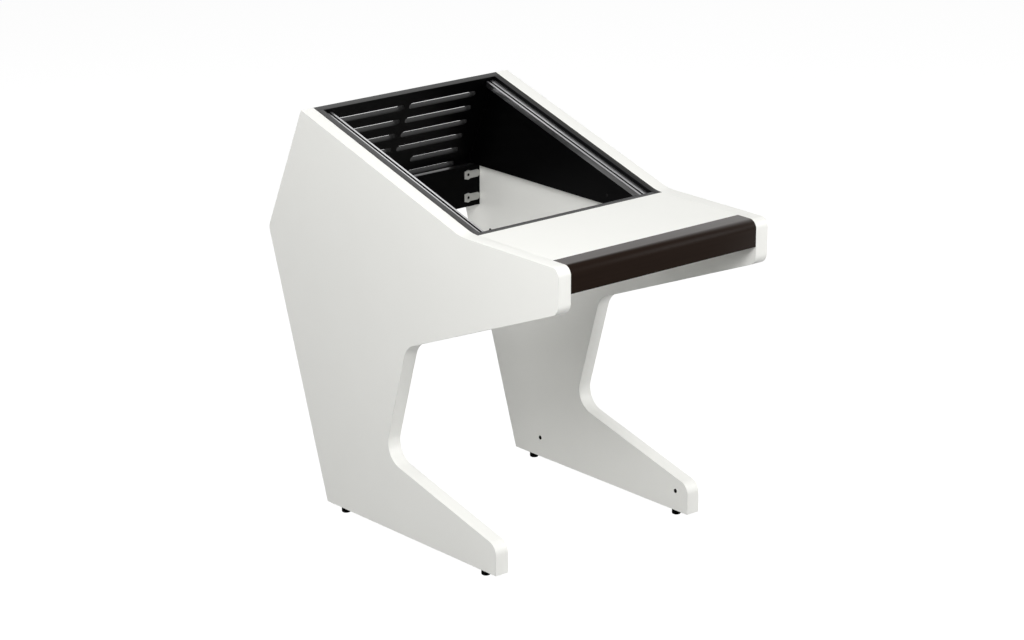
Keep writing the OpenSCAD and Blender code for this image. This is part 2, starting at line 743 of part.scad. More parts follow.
// a glide foot: a round pad with a rounded lower edge, and its threaded stem
module foot(side, depth) {
    color([0.04, 0.04, 0.04]) desk_frame() at_foot(side, depth) rotate_extrude($fn = 64) union() {
        translate([0, -foot_h / 2]) square([stem_r, stem_len + foot_h / 2]);
        polygon([[0, -foot_h], [foot_r - foot_round, -foot_h], [foot_r, foot_round - foot_h],
                 [foot_r, -foot_gap], [0, -foot_gap]]);
        translate([foot_r - foot_round, foot_round - foot_h]) circle(r = foot_round, $fn = 48);
    }
}
module foot_left_front() { foot(-1, foot_front_depth); }
module foot_right_front() { foot(1, foot_front_depth); }
module foot_left_rear() { foot(-1, foot_rear_depth); }
module foot_right_rear() { foot(1, foot_rear_depth); }

side_panel_left();
side_panel_right();
desk_top();
armrest();
rack_side_left();
rack_side_right();
rack_front_board();
rack_back_board();
cross_board();
rail_left();
rail_right();
thread_strip_left();
thread_strip_right();
rail_screws_left();
rail_screws_right();
side_board_screws();
cross_plate_left_upper();
cross_plate_left_lower();
cross_plate_right_upper();
cross_plate_right_lower();
cross_plate_screws();
desk_cams();
desk_cam_bolts();
desk_dowels();
armrest_dowels();
armrest_brackets();
armrest_screws();
back_board_dowels();
front_board_dowels();
foot_insert_left_front();
foot_insert_right_front();
foot_insert_left_rear();
foot_insert_right_rear();
foot_left_front();
foot_right_front();
foot_left_rear();
foot_right_rear();
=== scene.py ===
import json
import math

import bpy
import numpy as np
from mathutils import Matrix, Vector
from mathutils.geometry import tessellate_polygon


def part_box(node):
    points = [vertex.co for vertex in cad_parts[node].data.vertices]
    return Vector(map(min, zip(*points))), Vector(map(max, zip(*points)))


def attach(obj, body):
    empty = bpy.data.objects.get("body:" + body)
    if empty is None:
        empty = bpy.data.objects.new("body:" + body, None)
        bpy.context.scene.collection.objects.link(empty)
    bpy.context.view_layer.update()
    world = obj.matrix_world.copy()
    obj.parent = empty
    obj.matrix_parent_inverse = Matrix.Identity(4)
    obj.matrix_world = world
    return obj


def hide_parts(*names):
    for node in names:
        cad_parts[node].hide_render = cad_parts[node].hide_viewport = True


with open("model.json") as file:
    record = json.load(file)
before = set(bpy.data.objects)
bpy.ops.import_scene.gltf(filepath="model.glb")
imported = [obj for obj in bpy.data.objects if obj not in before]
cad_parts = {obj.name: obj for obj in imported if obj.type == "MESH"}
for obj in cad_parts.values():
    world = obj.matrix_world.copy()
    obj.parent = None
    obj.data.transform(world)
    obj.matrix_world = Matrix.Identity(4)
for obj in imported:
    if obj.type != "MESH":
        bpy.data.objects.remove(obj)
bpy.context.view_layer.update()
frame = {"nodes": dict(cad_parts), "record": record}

# Side panels
# Two C-shaped panels of 35 mm board with a white laminate on both faces. Their corners are
# routed round, a white band is glued on the edge all the way, and its corners are eased.
MM = 0.001
INNER_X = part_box("side_panel_right")[0][0]
OUTER_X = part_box("side_panel_right")[1][0]
PANEL_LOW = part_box("side_panel_left")[0]
FRONT_DEPTH = 791.1 * MM
TABLE_Z = 734.3 * MM
EQUIPMENT_SLOPE = 110 * MM
# the side view's own origin is the rear bottom corner of a panel, and these are its corners in
# metres as [y, z, radius], from that corner round by the back and the top
SIDE_ORIGIN = np.array([PANEL_LOW[1] + FRONT_DEPTH, PANEL_LOW[2]])
REAR_TOP = np.array([74.1, 902.9]) * MM
BULGE = np.array([203.3, 608.3]) * MM
SLOPE_FOOT = np.array([-478.8 * MM, TABLE_Z])
PANEL_CORNERS = np.array([
    [0, 0, 0],
    [*BULGE, 30 * MM],
    [*REAR_TOP, 0],
    [*SLOPE_FOOT, EQUIPMENT_SLOPE],
    [-FRONT_DEPTH, TABLE_Z, 20 * MM],
    [-FRONT_DEPTH, TABLE_Z - 97.4 * MM, 26 * MM],
    [-292.5 * MM, 441.7 * MM, 50 * MM],
    [-212.7 * MM, 169.0 * MM, 50 * MM],
    [-594.1 * MM, 68.6 * MM, 29 * MM],
    [-594.1 * MM, 0, 0],
])
# accessory bores in the inner faces as [y, z], with their radius and depth
BORES = np.array([[-88.7, 46.7], [-554.4, 46.7], [93.6, 516.0]]) * MM
BORE_R, BORE_DEPTH = 5 * MM, 12 * MM
PANEL_EASE, GLUE_LINE = 0.7 * MM, 0.3 * MM
EASE_POINTS, SHARP, FLAT_AREA = 4, math.radians(40), 1e-12
X, Y, Z = np.eye(3)
slot_of = {row["node"]: row["material_slot"] for row in frame["record"]["subparts"]}


def unit(v):
    """Rows of v scaled to length one."""
    return v / np.linalg.norm(v, axis=-1, keepdims=True)


def left_of(v):
    """Rows of v turned a quarter turn to the left."""
    return np.stack([-v[:, 1], v[:, 0]], axis=1)


def rounded(corners, step=math.radians(3)):
    """Closed outline through rows [u, v, radius]. A corner with a radius r becomes the arc whose
    centre lies r / sin(half the corner's angle) along the bisector, so it touches both edges. No
    piece of an arc turns by more than step."""
    points, radii = corners[:, :2], corners[:, 2]
    back, on = unit(np.roll(points, 1, 0) - points), unit(np.roll(points, -1, 0) - points)
    half = np.arccos(np.clip((back * on).sum(1), -1, 1)) / 2
    outline = []
    for point, r, a, b, h in zip(points, radii, back, on, half):
        if r == 0:
            outline.append(point[None])
            continue
        centre = point + r / math.sin(h) * unit(a + b)
        start, end = point + r / math.tan(h) * a - centre, point + r / math.tan(h) * b - centre
        turn = math.atan2(start[0] * end[1] - start[1] * end[0], start @ end)
        t = np.linspace(0, turn, 1 + math.ceil(abs(turn) / step))[:, None]
        outline.append(centre + np.cos(t) * start + np.sin(t) * left_of(start[None]))
    return np.concatenate(outline)


def circle(centre, r, count=48):
    """Clockwise points round a circle, one every turn / count, for the edge of a hole."""
    t = -np.linspace(0, 2 * math.pi, count, endpoint=False)
    return np.array(centre) + r * np.stack([np.cos(t), np.sin(t)], axis=1)


def rectangle(low, high):
    """Anticlockwise corners of the rectangle between two opposite corners [u, v]."""
    return np.array([[low[0], low[1]], [high[0], low[1]], [high[0], high[1]], [low[0], high[1]]])


def moved_in(loop, distance):
    """The closed loop moved to its left by distance, each point along its mitre: the sum of the
    left normals of its two edges over one plus their cosine."""
    before = left_of(unit(loop - np.roll(loop, 1, 0)))
    after = left_of(unit(np.roll(loop, -1, 0) - loop))
    mitre = (before + after) / (1 + (before * after).sum(1, keepdims=True))
    return loop + distance * mitre


def cap(loops, facing_up):
    """Triangles that fill the region between flat loops, turned to face up or down."""
    flat = [[Vector((*p, 0)) for p in loop] for loop in loops]
    tri = np.array(tessellate_polygon(flat))
    p = np.concatenate(loops)[tri]
    e, f = p[:, 1] - p[:, 0], p[:, 2] - p[:, 0]
    area = e[:, 0] * f[:, 1] - e[:, 1] * f[:, 0]
    kept = np.abs(area) > FLAT_AREA
    tri, wrong = tri[kept], (area[kept] > 0) != facing_up
    tri[wrong] = tri[wrong][:, ::-1]
    return tri


# each face of a board takes one of four materials: laminate, glue line, edge band, or the wall of
# a through hole or a blind one
FACE, JOINT, BAND, POCKET = 0, 1, 2, 3


def board(name, loops, low, high, ease, place, pockets=(), joint=0.0, mirror=False):
    """A flat board: loops (the outer one anticlockwise, holes clockwise) carried from low to high,
    where each edge between face and rim is a quarter round of radius ease. At angle t that round
    is moved in by ease * (1 - sin t) and stands ease * (1 - cos t) from the face. pockets are
    blind holes as (loop, True for the high face, depth). joint is the width of the fine line of
    glue between the face and the edge band. place is a 3 by 4 array that turns board coordinates
    into the desk's frame, and mirror gives the board's image across the desk's middle."""
    t = np.radians(np.linspace(0, 90, EASE_POINTS))
    inset, rise = ease * (1 - np.sin(t)), ease * (1 - np.cos(t))
    inset = np.concatenate([inset, inset[::-1]])
    height = np.concatenate([low + rise, high - rise[::-1]])
    if joint:
        inset = np.concatenate([[ease + joint], inset, [ease + joint]])
        height = np.concatenate([[low], height, [high]])
    verts, faces, kinds, smooth = [], [], [], []
    ends = {False: [], True: []}
    ids = {False: [], True: []}
    count = 0
    for loop in loops:
        n = len(loop)
        rings = np.stack([np.c_[moved_in(loop, i), np.full(n, h)] for i, h in zip(inset, height)])
        verts.append(rings.reshape(-1, 3))
        j = np.arange(n)
        for k in range(len(inset) - 1):
            quads = count + np.stack([k * n + j, k * n + (j + 1) % n,
                                      (k + 1) * n + (j + 1) % n, (k + 1) * n + j], axis=1)
            faces += quads.tolist()
            line = joint and k in (0, len(inset) - 2)
            kinds += [JOINT if line else BAND if count == 0 else POCKET] * n
            smooth += [not line] * n
        for top, row in ((False, 0), (True, len(inset) - 1)):
            ends[top].append(rings[row, :, :2])
            ids[top].append(count + row * n + j)
        count += rings.shape[0] * n
    for loop, top, depth in pockets:
        n = len(loop)
        j = np.arange(n)
        face_h = high if top else low
        floor_h = face_h - depth if top else face_h + depth
        verts.append(np.concatenate([np.c_[loop, np.full(n, h)] for h in (face_h, floor_h)]))
        quads = count + np.stack([j, (j + 1) % n, n + (j + 1) % n, n + j], axis=1)
        wall = quads if not top else quads[:, ::-1]
        bottom = count + n + (j if top else j[::-1])
        faces += wall.tolist() + [bottom[::-1].tolist()]
        kinds += [POCKET] * (n + 1)
        smooth += [True] * n + [False]
        ends[top].append(loop)
        ids[top].append(count + j)
        count += 2 * n
    for top in (False, True):
        tri = np.concatenate(ids[top])[cap(ends[top], top)]
        faces += tri.tolist()
        kinds += [FACE] * len(tri)
        smooth += [False] * len(tri)
    points = np.concatenate(verts) @ place[:, :3].T + place[:, 3]
    if mirror:
        points[:, 0] *= -1
        faces = [f[::-1] for f in faces]
    return piece(name, points, faces, smooth, kinds)


def piece(name, points, faces, smooth=True, kinds=None):
    """A mesh object at the origin, with its edges over the angle SHARP kept sharp. kinds gives the
    material of each face."""
    mesh = bpy.data.meshes.new(name)
    mesh.from_pydata(np.asarray(points).tolist(), [], faces)
    mesh.polygons.foreach_set("use_smooth", np.broadcast_to(smooth, len(faces)).tolist())
    mesh.set_sharp_from_angle(angle=SHARP)
    if kinds is not None:
        mesh.polygons.foreach_set("material_index", kinds)
    made = bpy.data.objects.new(name, mesh)
    bpy.context.scene.collection.objects.link(made)
    return made


def nodes_of(name):
    """A new material with its node tree, its surface shader and short ways to add and join."""
    material = bpy.data.materials.new(name)
    material.use_nodes = True
    tree = material.node_tree
    shader = tree.nodes["Principled BSDF"]

    def add(kind, **values):
        node = tree.nodes.new(kind)
        for key, value in values.items():
            if key in node.inputs:
                node.inputs[key].default_value = value
            else:
                setattr(node, key, value)
        return node

    return material, shader, add, tree.links.new


def noise(add, join, stretch, scale, detail=3.0):
    """Noise on object coordinates, stretched by the three factors."""
    where = add("ShaderNodeTexCoord")
    turn = add("ShaderNodeMapping")
    turn.inputs["Scale"].default_value = stretch
    pattern = add("ShaderNodeTexNoise", Scale=scale, Detail=detail)
    join(where.outputs["Object"], turn.inputs["Vector"])
    join(turn.outputs["Vector"], pattern.inputs["Vector"])
    return pattern.outputs["Fac"]


def ranged(add, join, value, low, high):
    """The value from 0 to 1 carried to the range from low to high."""
    node = add("ShaderNodeMapRange")
    node.inputs["To Min"].default_value = low
    node.inputs["To Max"].default_value = high
    join(value, node.inputs["Value"])
    return node.outputs["Result"]


def tinted(add, join, value, dark, light):
    """The value from 0 to 1 as a colour between dark and light."""
    ramp = add("ShaderNodeValToRGB")
    ramp.color_ramp.elements[0].color = (*dark, 1)
    ramp.color_ramp.elements[1].color = (*light, 1)
    join(value, ramp.inputs["Fac"])
    return ramp.outputs["Color"]


def bumped(add, join, shader, value, strength, distance):
    """The value as a fine relief of that height on the shader."""
    relief = add("ShaderNodeBump", Strength=strength, Distance=distance)
    join(value, relief.inputs["Height"])
    join(relief.outputs["Normal"], shader.inputs["Normal"])


def finish(name, dark, light, mottle, rough, specular, relief, stretch=(1, 1, 1), metallic=0.0):
    """A surface whose colour drifts from dark to light in soft patches of the scale mottle, and
    whose roughness and relief follow a finer noise. relief is that noise's scale, the strength of
    its bump and its height; stretch draws both noises out along the piece."""
    material, shader, add, join = nodes_of(name)
    patches = noise(add, join, stretch, mottle)
    join(tinted(add, join, patches, dark, light), shader.inputs["Base Color"])
    scale, strength, height = relief
    fine = noise(add, join, stretch, scale, 2.0)
    join(ranged(add, join, fine, *rough), shader.inputs["Roughness"])
    bumped(add, join, shader, fine, strength, height)
    shader.inputs["Specular IOR Level"].default_value = specular
    shader.inputs["Metallic"].default_value = metallic
    return material


def place_of(origin, u, v, w):
    """The array that carries board coordinates along u, v and w from origin."""
    return np.stack([u, v, w, origin], axis=1).astype(float)


def finished(made, node, materials, body="frame"):
    """Gives the piece its materials, lets it ride on its body and stand for its CAD node."""
    for material in materials:
        made.data.materials.append(material)
    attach(made, body)
    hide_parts(node)


ORANGE_PEEL = (420.0, 0.25, 0.02 * MM)
white = [
    finish("white laminate", (0.9, 0.9, 0.862), (0.925, 0.925, 0.888), 9.0, (0.42, 0.54), 0.16,
           ORANGE_PEEL),
    finish("glue line", (0.70, 0.70, 0.67), (0.74, 0.74, 0.71), 9.0, (0.4, 0.5), 0.16, ORANGE_PEEL),
    finish("white edge band", (0.865, 0.865, 0.829), (0.889, 0.889, 0.853), 9.0, (0.36, 0.46), 0.16,
           ORANGE_PEEL),
    # the walls of the bores and cam holes are near black: painted shade inside the holes
    finish("white board holes in painted shade", (0.005, 0.0045, 0.004), (0.010, 0.009, 0.008), 300.0, (0.7, 0.9), 0.1,
           (900.0, 0.4, 0.1 * MM)),
]
side_view = place_of([0, *SIDE_ORIGIN], Y, Z, X)
panel_outline = rounded(PANEL_CORNERS)
bores = [(circle(at, BORE_R), False, BORE_DEPTH) for at in BORES]
for side in ("left", "right"):
    panel = board(f"{side}_panel", [panel_outline], INNER_X, OUTER_X, PANEL_EASE, side_view,
                  pockets=bores, joint=GLUE_LINE, mirror=side == "left")
    finished(panel, f"side_panel_{side}", white)

# Desk top
# A rectangle of the same white board between the side panels, held by cams let into its
# underside. Only its long edges show, and they are eased a little less than the panels' are.
DESK_EASE = 0.5 * MM
CAM_R, CAM_H, CAM_AT, CAM_EDGE, CAM_ROOM = 7.5 * MM, 23.5 * MM, 34 * MM, 40 * MM, 0.1 * MM
desk_low, desk_high = (np.array(c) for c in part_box("desk_top"))
cam_y = [desk_high[1] - CAM_EDGE, (desk_low[1] + desk_high[1]) / 2, desk_low[1] + CAM_EDGE]
cam_holes = [(circle((x, y), CAM_R + CAM_ROOM), False, CAM_H)
             for y in cam_y for x in (-INNER_X + CAM_AT, INNER_X - CAM_AT)]
desk = board("writing_surface", [rectangle(desk_low, desk_high)], desk_low[2], desk_high[2],
             DESK_EASE, place_of([0, 0, 0], X, Y, Z), cam_holes, GLUE_LINE)
finished(desk, "desk_top", white)

# Armrest
# A solid bar stained dark brown with a satin finish, whose upper front edge is rounded over to
# match the noses of the side panels. It runs between them, flush with the desk top.
ARMREST_DEPTH, ARMREST_HEIGHT, NOSE_R, BAR_R = 56.5 * MM, 60 * MM, 20 * MM, 1.5 * MM
BAR_EASE = 0.4 * MM


def stained_wood():
    """Dark brown stain over close grain that runs along the bar, under a thin satin coat that
    shines only at a shallow angle."""
    material, shader, add, join = nodes_of("dark brown stain")
    grain = noise(add, join, (0.6, 14, 14), 9.0, 8.0)
    join(tinted(add, join, grain, (0.0115, 0.0070, 0.0050), (0.0175, 0.0108, 0.0078)),
         shader.inputs["Base Color"])
    pores = noise(add, join, (2.5, 60, 60), 12.0, 4.0)
    join(ranged(add, join, pores, 0.3, 0.42), shader.inputs["Roughness"])
    bumped(add, join, shader, pores, 0.15, 0.05 * MM)
    sheen_at_edge(add, join, shader, 0.35, 0.7, 0.02, 0.36)
    return material


def sheen_at_edge(add, join, shader, begin, full, head_on, shallow):
    """A gloss that is weak seen head on and stronger at a shallow angle: it climbs while one minus
    the cosine between view and surface goes from begin to full."""
    angle = add("ShaderNodeLayerWeight", Blend=0.5)
    step = add("ShaderNodeMapRange", interpolation_type="SMOOTHSTEP")
    step.inputs["From Min"].default_value = begin
    step.inputs["From Max"].default_value = full
    step.inputs["To Min"].default_value = head_on
    step.inputs["To Max"].default_value = shallow
    join(angle.outputs["Facing"], step.inputs["Value"])
    shader.inputs["Specular IOR Level"].default_value = (head_on + shallow) / 2
    join(step.outputs["Result"], shader.inputs["Specular IOR Level"])


armrest_loop = rounded(np.array([
    [-FRONT_DEPTH, TABLE_Z, NOSE_R],
    [-FRONT_DEPTH, TABLE_Z - ARMREST_HEIGHT, BAR_R],
    [-FRONT_DEPTH + ARMREST_DEPTH, TABLE_Z - ARMREST_HEIGHT, BAR_R],
    [-FRONT_DEPTH + ARMREST_DEPTH, TABLE_Z, 0],
]))
stained = stained_wood()
finished(board("armrest_bar", [armrest_loop], -INNER_X, INNER_X, BAR_EASE, side_view), "armrest",
         [stained] * 3)

# Equipment bay
# Five boards of 16 mm black laminate: two sides that carry the rails, a low front board, the
# slotted back board that follows the panels' rear edge, and the cross board below it.
BOARD_T = 16 * MM
BAY_HALF = INNER_X - BOARD_T
BAY_BOTTOM = TABLE_Z - 61.3 * MM
BAY_FRONT = SLOPE_FOOT[0] - BOARD_T
slope_dir = unit(SLOPE_FOOT - REAR_TOP)
rear_dir = unit(BULGE - REAR_TOP)
LEAN = math.acos(slope_dir @ rear_dir) - math.pi / 2
SLOPE_OUT = np.array([slope_dir[1], -slope_dir[0]])
SLOPE_LEN = np.linalg.norm(SLOPE_FOOT - REAR_TOP)
SCREW_R, HEAD_R, HEAD_H, HEAD_ROOM, SINK_POINTS = 2 * MM, 3.4 * MM, 2 * MM, 0.15 * MM, 32
LOW_SCREW = np.array([147.1, 22.5]) * MM
TOP_SCREW_BELOW, TOP_SCREW_END = 8.5 * MM, 80 * MM
RAIL_SINK, RAIL_D = 8 * MM, 13.5 * MM
BLACK_EASE, ARC_TRIM = 0.25 * MM, 0.5 * MM
FINE_PITS = (600.0, 0.2, 0.02 * MM)
black = [
    finish("black laminate", (0.0004, 0.0004, 0.0005), (0.0009, 0.0009, 0.0010), 9.0, (0.36, 0.48),
           0.035, FINE_PITS),
    finish("dark glue line", (0.002, 0.002, 0.002), (0.004, 0.004, 0.004), 9.0, (0.4, 0.5), 0.08,
           FINE_PITS),
    finish("black edge band", (0.006, 0.006, 0.006), (0.010, 0.010, 0.010), 9.0, (0.26, 0.36), 0.17,
           FINE_PITS),
    finish("drilled black board", (0.006, 0.005, 0.005), (0.010, 0.009, 0.008), 300.0, (0.7, 0.9),
           0.1, (900.0, 0.4, 0.1 * MM)),
]
# the band on the bay's right side is a darker, duller copy for painted shade, and the cross board's
# a lighter, glossier copy for a painted highlight on its top edge
shaded_band = finish("black edge band in painted shade", (0.004, 0.004, 0.004), (0.007, 0.007, 0.007), 9.0,
                   (0.32, 0.42), 0.09, FINE_PITS)
back_top = REAR_TOP + BOARD_T / math.cos(LEAN) * slope_dir
back_low = back_top + (BAY_BOTTOM - back_top[1]) / rear_dir[1] * rear_dir
foot_arc = rounded(np.array([
    [*REAR_TOP, 0], [*SLOPE_FOOT, EQUIPMENT_SLOPE], [-FRONT_DEPTH, TABLE_Z, 0]]))[1:-1]
end_z = np.interp(-BAY_FRONT, -foot_arc[:, 0], foot_arc[:, 1])
foot_arc = foot_arc[foot_arc[:, 0] > BAY_FRONT + ARC_TRIM]
bay_side_loop = np.concatenate([
    [back_top], foot_arc, [[BAY_FRONT, end_z], [BAY_FRONT, BAY_BOTTOM], back_low]])
# countersunk screws in the bay's side boards as [y, z]
side_screws = np.concatenate([
    [[SLOPE_FOOT[0], BAY_BOTTOM] + LOW_SCREW],
    [REAR_TOP + along * slope_dir - (RAIL_SINK + RAIL_D + TOP_SCREW_BELOW) * SLOPE_OUT
     for along in (TOP_SCREW_END, SLOPE_LEN / 2, SLOPE_LEN - TOP_SCREW_END)],
])
sinks = [(circle(at, HEAD_R + HEAD_ROOM, SINK_POINTS), False, HEAD_H) for at in side_screws]
for side, band in (("left", black[BAND]), ("right", shaded_band)):
    made = board(f"bay_{side}_board", [bay_side_loop], BAY_HALF, INNER_X, BLACK_EASE, side_view,
                 pockets=sinks, joint=GLUE_LINE, mirror=side == "left")
    finished(made, f"rack_side_{side}", black[:BAND] + [band, black[POCKET]])

upright = place_of([0, 0, 0], X, Z, -Y)
# a lighter, glossier copy of the black band for the cross board: painted highlight on its top edge,
# lit from above
highlight_band = finish("black edge band with painted highlight", (0.010, 0.010, 0.010), (0.016, 0.016, 0.016), 9.0,
                     (0.24, 0.34), 0.36, FINE_PITS)
for name, node, band in (("bay_front_board", "rack_front_board", black[BAND]),
                         ("bay_cross_board", "cross_board", highlight_band)):
    low, high = (np.array(c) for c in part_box(node))
    made = board(name, [rectangle(low[::2], high[::2])], -high[1], -low[1], BLACK_EASE, upright,
                 joint=GLUE_LINE)
    finished(made, node, black[:BAND] + [band])

# the slotted back board, drawn along the desk's width and up the rear edge, inner face high
BACK_LEN = 274 * MM
SLOT_H, SLOT_PITCH, SLOT_FIRST, SLOT_WEB = 15 * MM, 40 * MM, 38 * MM, 16 * MM
SLOT_LONG, SLOT_SHORT, ROWS_LONG, ROWS, SLOT_EASE = 196 * MM, 143 * MM, 4, 6, 0.1 * MM
BEVEL_REACH, END_POINTS = 20 * MM, 17


def slot_loop(x0, x1, z):
    """Clockwise outline of a slot with round ends, from x0 to x1 about the height z."""
    r = SLOT_H / 2
    t = np.linspace(math.pi / 2, -math.pi / 2, END_POINTS)
    right = np.c_[x1 - r + r * np.cos(t), z + r * np.sin(t)]
    left = np.c_[x0 + r - r * np.cos(t), z - r * np.sin(t)]
    return np.concatenate([right, left])


back_loops = [rectangle((-INNER_X, -BACK_LEN), (INNER_X, 0))]
outer = SLOT_WEB / 2 + SLOT_LONG
for row in range(ROWS):
    inner = outer - (SLOT_LONG if row < ROWS_LONG else SLOT_SHORT)
    level = -SLOT_FIRST - row * SLOT_PITCH
    back_loops += [slot_loop(inner, outer, level), slot_loop(-outer, -inner, level)]
up_rear = np.array([0, *-rear_dir])
rear_in = np.cross(X, up_rear)
rear_origin = np.array([0, *(SIDE_ORIGIN + REAR_TOP)])
slotted = board("slotted_back", back_loops, 0, BOARD_T, SLOT_EASE,
                place_of(rear_origin, X, up_rear, rear_in), joint=GLUE_LINE)
# its top edge is cut along the slope, so the points near it climb with their depth
points = np.empty(len(slotted.data.vertices) * 3)
slotted.data.vertices.foreach_get("co", points)
points = points.reshape(-1, 3)
local = points - rear_origin
near_top = np.clip((local @ up_rear) / BEVEL_REACH + 1, 0, 1)
points += (near_top * (local @ rear_in) * math.tan(LEAN))[:, None] * up_rear
slotted.data.vertices.foreach_set("co", points.ravel())
slot_wall = finish("milled black board", (0.004, 0.004, 0.004), (0.008, 0.008, 0.008), 60.0,
                   (0.36, 0.46), 0.13, (300.0, 0.3, 0.03 * MM), stretch=(1, 4, 4))
finished(slotted, "rack_back_board", black[:POCKET] + [slot_wall])

# Rack rails and threaded strips
# Two aluminium extrusions screwed to the bay's side boards, 8 mm below the sloping edge, each
# with a slot that holds a black steel strip tapped for rack screws at the standard spacing.
RAIL_W, RAIL_WALL, SLOT_AT, SLOT_W = 24.5 * MM, 2.5 * MM, 16.5 * MM, 5.8 * MM
STRIP_W, STRIP_T, BOLT_ROOM, STRIP_GAP = 9 * MM, 3 * MM, 5 * MM, 0.2 * MM
RAIL_GAP, RAIL_EASE, STRIP_END, STRIP_EASE = 2 * MM, 0.15 * MM, 3 * MM, 0.25 * MM
LIP, CHAMBER, CAVITY_ROOM, NEAR = 0.35 * MM, 0.3 * MM, 0.1 * MM, 0.05 * MM
RAIL_START = BOARD_T / math.cos(LEAN) + RAIL_GAP
RAIL_LEN = SLOPE_LEN - RAIL_START
UNIT, UNITS, HOLE_FIRST, HOLE_STEP, HOLE_R = 44.45 * MM, 12, 6.35 * MM, 15.875 * MM, 2.5 * MM
HOLES_IN_UNIT, HOLE_POINTS = 3, 24
RAIL_STEP, CHAMBER_STEP = math.radians(15), math.radians(30)


def aluminium(name, dark, light):
    """Clear anodised extrusion: fine die lines along its length, over a soft satin shine. The
    pattern is turned by the slope's angle, so that the lines run down the rail on every side."""
    material, shader, add, join = nodes_of(name)
    where = add("ShaderNodeTexCoord")
    along = add("ShaderNodeMapping", vector_type="TEXTURE")
    along.inputs["Rotation"].default_value = (math.atan2(-slope_dir[1], -slope_dir[0]), 0, 0)
    finer = add("ShaderNodeMapping")
    finer.inputs["Scale"].default_value = (900, 2, 900)
    lines = add("ShaderNodeTexNoise", Scale=1.0, Detail=2.0)
    join(where.outputs["Object"], along.inputs["Vector"])
    join(along.outputs["Vector"], finer.inputs["Vector"])
    join(finer.outputs["Vector"], lines.inputs["Vector"])
    die_lines = lines.outputs["Fac"]
    join(tinted(add, join, die_lines, dark, light), shader.inputs["Base Color"])
    join(ranged(add, join, die_lines, 0.28, 0.38), shader.inputs["Roughness"])
    bumped(add, join, shader, die_lines, 0.05, 0.01 * MM)
    shader.inputs["Metallic"].default_value = 1
    return material


slope_down = np.array([0, *slope_dir])
slope_up = np.array([0, *SLOPE_OUT])
cavity = STRIP_W / 2 + STRIP_GAP
cavity_depth = STRIP_T + BOLT_ROOM + CAVITY_ROOM
# the rail's outline from its screwed side inwards, and down from its face, as [u, v, radius];
# the slot and its wider cavity open on the face, and a closed chamber lies beside them
rail_outline = rounded(np.array([
    [0, 0, LIP],
    [0, -RAIL_D, LIP],
    [RAIL_W, -RAIL_D, LIP],
    [RAIL_W, 0, LIP],
    [SLOT_AT + SLOT_W / 2, 0, LIP],
    [SLOT_AT + SLOT_W / 2, -RAIL_WALL, 0],
    [SLOT_AT + cavity, -RAIL_WALL, 0],
    [SLOT_AT + cavity, -RAIL_WALL - STRIP_T - BOLT_ROOM, CHAMBER],
    [SLOT_AT - cavity, -RAIL_WALL - STRIP_T - BOLT_ROOM, CHAMBER],
    [SLOT_AT - cavity, -RAIL_WALL, 0],
    [SLOT_AT - SLOT_W / 2, -RAIL_WALL, 0],
    [SLOT_AT - SLOT_W / 2, 0, LIP],
]), RAIL_STEP)
chamber_right = SLOT_AT - cavity - RAIL_WALL
chamber = rounded(np.array([
    [RAIL_WALL, -RAIL_D + RAIL_WALL, CHAMBER],
    [RAIL_WALL, -RAIL_WALL, CHAMBER],
    [chamber_right, -RAIL_WALL, CHAMBER],
    [chamber_right, -RAIL_D + RAIL_WALL, CHAMBER],
]), CHAMBER_STEP)
strip_loop = rectangle((-STRIP_W / 2, STRIP_END), (STRIP_W / 2, RAIL_LEN - STRIP_END))
rack_start = (RAIL_LEN - UNITS * UNIT) / 2 + HOLE_FIRST
holes = [circle((0, rack_start + u * UNIT + h * HOLE_STEP), HOLE_R, HOLE_POINTS)
         for u in range(UNITS) for h in range(HOLES_IN_UNIT)]
rail_metal = aluminium("anodised aluminium", (0.33, 0.33, 0.335), (0.41, 0.41, 0.415))
# darker copies of the same aluminium: painted shade in the groove and on the wall that faces the
# bay
groove_shade_metal = aluminium("rail groove in painted shade", (0.05, 0.05, 0.05), (0.08, 0.08, 0.08))
shaded_wall_metal = aluminium("rail wall in painted shade", (0.20, 0.20, 0.205), (0.26, 0.26, 0.265))
strip_metal = finish("blackened steel", (0.003, 0.003, 0.003), (0.007, 0.007, 0.007), 160.0,
                     (0.4, 0.55), 0.08, (160.0, 0.1, 0.02 * MM))
rail_top = SIDE_ORIGIN + REAR_TOP + RAIL_START * slope_dir - RAIL_SINK * SLOPE_OUT
face_origin = np.array([0, *rail_top])
for side in ("left", "right"):
    place = place_of(face_origin + BAY_HALF * X, -X, slope_up, slope_down)
    made = board(f"rail_{side}_extrusion", [rail_outline, chamber], 0, RAIL_LEN, RAIL_EASE, place,
                 mirror=side == "left")
    # the faces in the groove and on the wall that looks into the bay get darker metal, painted
    # shade
    centres = np.empty(len(made.data.polygons) * 3)
    made.data.polygons.foreach_get("center", centres)
    centres = centres.reshape(-1, 3)
    depth = (centres - face_origin) @ slope_up
    across = BAY_HALF - np.abs(centres[:, 0])
    in_groove = ((np.abs(across - SLOT_AT) < cavity + CAVITY_ROOM) & (depth < -LIP)
                 & (depth > -RAIL_WALL - cavity_depth))
    metal = np.where(in_groove, 1, np.where(across > RAIL_W - NEAR, 2, 0))
    made.data.polygons.foreach_set("material_index", metal)
    finished(made, f"rail_{side}", [rail_metal, groove_shade_metal, shaded_wall_metal])
    origin = face_origin + (BAY_HALF - SLOT_AT) * X - RAIL_WALL * slope_up
    made = board(f"tapped_strip_{side}", [strip_loop] + holes, -STRIP_T, 0, STRIP_EASE,
                 place_of(origin, -X, slope_down, slope_up), mirror=side == "left")
    finished(made, f"thread_strip_{side}", [strip_metal] * 4)

